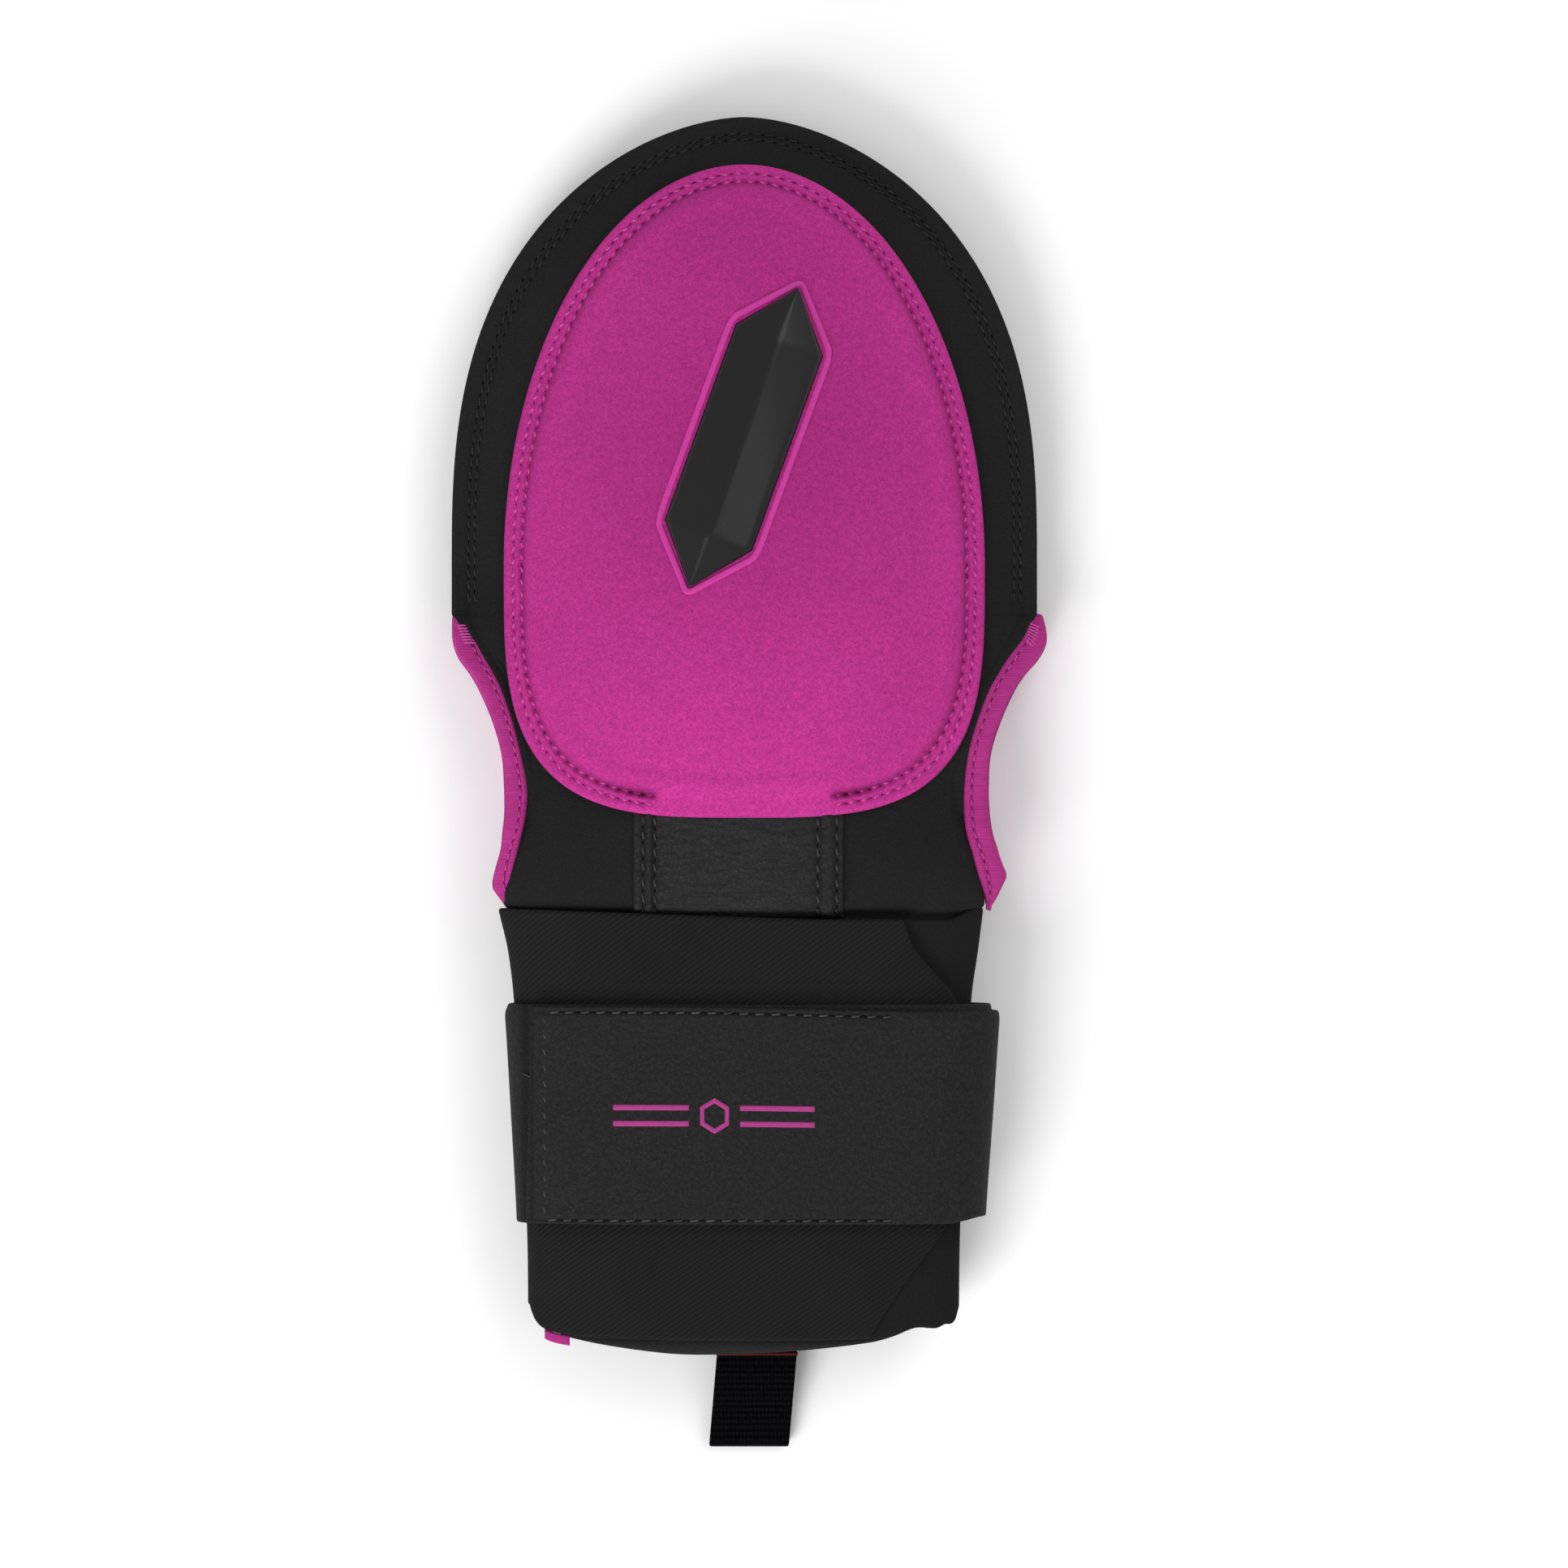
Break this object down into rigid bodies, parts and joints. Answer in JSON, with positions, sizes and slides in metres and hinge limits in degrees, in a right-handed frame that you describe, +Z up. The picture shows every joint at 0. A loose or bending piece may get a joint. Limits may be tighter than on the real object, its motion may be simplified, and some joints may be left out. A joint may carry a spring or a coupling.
{
  "type": "sliding mitt",
  "caption": "Padded hand guard with an egg-shaped back pad, side thumb openings, wrapped wrist band, closure strap and webbing pull tab.",
  "frame": {"origin": "on the floor under the middle of the mitt's length and width, with the mitt lying on its palm side", "axes": "+Y towards the fingertips, +X to the right of the hand's back, +Z up out of the back pad"},
  "size_m": [0.1418, 0.3152, 0.0443],
  "materials": {
    "neoprene": "matt knit over foam",
    "pad_suede": "soft microfibre",
    "boss_rubber": "satin moulded",
    "leather": "matt grained",
    "binding": "folded stretch binding",
    "knit": "matt knit",
    "twill": "twill elastic",
    "webbing": "ribbed webbing"
  },
  "bodies": {
    "root": {"back_panel": "neoprene", "palm_panel": "neoprene", "back_pad": "pad_suede", "pad_boss": "boss_rubber", "wrist_strip": "leather", "thumb_binding_left": "binding", "thumb_binding_right": "binding", "cuff": "knit", "elastic_wrap": "twill", "closure_strap": "leather", "strap_face": "leather", "hem_tag": "binding", "pull_tab": "webbing"}
  },
  "joints": []
}
